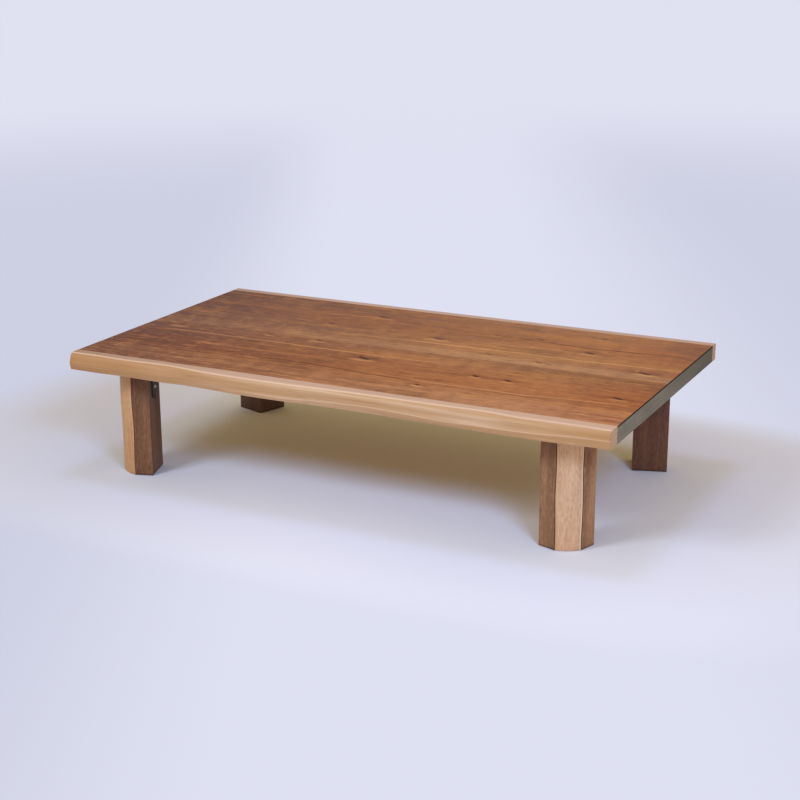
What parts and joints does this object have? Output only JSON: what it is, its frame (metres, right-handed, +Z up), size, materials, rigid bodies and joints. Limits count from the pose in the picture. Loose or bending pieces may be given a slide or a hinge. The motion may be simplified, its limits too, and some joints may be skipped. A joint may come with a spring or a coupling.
{
  "type": "folding low table",
  "caption": "Long low table with a veneered top, a wavy light-wood front edge and square legs that fold flat under the top",
  "frame": {"origin": "on the floor under the middle of the table", "axes": "+X along the table to the right seen from the wavy front edge, -Y towards that front edge, +Z up"},
  "size_m": [1.35, 0.7642, 0.302],
  "materials": {
    "walnut_veneer": "satin urethane lacquer over sliced walnut, grain along the table",
    "underside_ply": "plain brown plywood, unlacquered",
    "light_edge_wood": "light solid wood, satin lacquer",
    "end_banding": "grey-brown edge banding, satin",
    "core_softwood": "planed softwood, hidden inside",
    "tongue_ply": "thin plywood, hidden inside",
    "leg_light_wood": "light solid wood, satin lacquer",
    "walnut_facing": "walnut boards, satin lacquer, grain upright",
    "glide_felt": "dense brown felt",
    "black_fitting": "black baked enamel on pressed steel",
    "spring_steel": "blued spring strip",
    "zinc_steel": "bright zinc plate"
  },
  "bodies": {
    "table_top": {"back_edge_strip": "light_edge_wood", "back_tongue": "tongue_ply", "bottom_panel": "underside_ply", "core_back_rail": "core_softwood", "core_cross_rail_left": "core_softwood", "core_cross_rail_right": "core_softwood", "core_end_rail_left": "core_softwood", "core_end_rail_right": "core_softwood", "core_end_rib_left": "core_softwood", "core_end_rib_right": "core_softwood", "core_front_rail": "core_softwood", "core_rib_1": "core_softwood", "core_rib_2": "core_softwood", "core_rib_3": "core_softwood", "core_rib_4": "core_softwood", "end_band_left": "end_banding", "end_band_right": "end_banding", "face_panel": "walnut_veneer", "front_edge_strip": "light_edge_wood", "front_tongue": "tongue_ply", "hinge_base_back_left": "black_fitting", "hinge_base_back_right": "black_fitting", "hinge_base_front_left": "black_fitting", "hinge_base_front_right": "black_fitting", "hinge_base_screws": "zinc_steel", "hinge_pin_back_left": "zinc_steel", "hinge_pin_back_right": "zinc_steel", "hinge_pin_front_left": "zinc_steel", "hinge_pin_front_right": "zinc_steel", "leg_block_back_left": "core_softwood", "leg_block_back_right": "core_softwood", "leg_block_front_left": "core_softwood", "leg_block_front_right": "core_softwood", "lock_spring_back_left": "spring_steel", "lock_spring_back_right": "spring_steel", "lock_spring_front_left": "spring_steel", "lock_spring_front_right": "spring_steel", "lock_spring_rivets": "zinc_steel"},
    "leg_front_right": {"hinge_leaf_front_right": "black_fitting", "leaf_screws_front_right": "zinc_steel", "leg_core_front_right": "leg_light_wood", "leg_facing_front_right": "walnut_facing", "leg_glide_front_right": "glide_felt"},
    "leg_front_left": {"hinge_leaf_front_left": "black_fitting", "leaf_screws_front_left": "zinc_steel", "leg_core_front_left": "leg_light_wood", "leg_facing_front_left": "walnut_facing", "leg_glide_front_left": "glide_felt"},
    "leg_back_right": {"hinge_leaf_back_right": "black_fitting", "leaf_screws_back_right": "zinc_steel", "leg_core_back_right": "leg_light_wood", "leg_facing_back_right": "walnut_facing", "leg_glide_back_right": "glide_felt"},
    "leg_back_left": {"hinge_leaf_back_left": "black_fitting", "leaf_screws_back_left": "zinc_steel", "leg_core_back_left": "leg_light_wood", "leg_facing_back_left": "walnut_facing", "leg_glide_back_left": "glide_felt"}
  },
  "joints": [
    {"name": "front_right_fold", "type": "hinge", "parent": "table_top", "child": "leg_front_right", "pos_m": [0.49994, -0.25931, 0.25], "axis": [0.309, 0.9511, 0], "range_deg": [0, 90]},
    {"name": "front_left_fold", "type": "hinge", "parent": "table_top", "child": "leg_front_left", "pos_m": [-0.49994, -0.25931, 0.25], "axis": [0.309, -0.9511, 0], "range_deg": [0, 90]},
    {"name": "back_right_fold", "type": "hinge", "parent": "table_top", "child": "leg_back_right", "pos_m": [0.49994, 0.27331, 0.25], "axis": [-0.309, 0.9511, 0], "range_deg": [0, 90]},
    {"name": "back_left_fold", "type": "hinge", "parent": "table_top", "child": "leg_back_left", "pos_m": [-0.49994, 0.27331, 0.25], "axis": [-0.309, -0.9511, 0], "range_deg": [0, 90]}
  ]
}
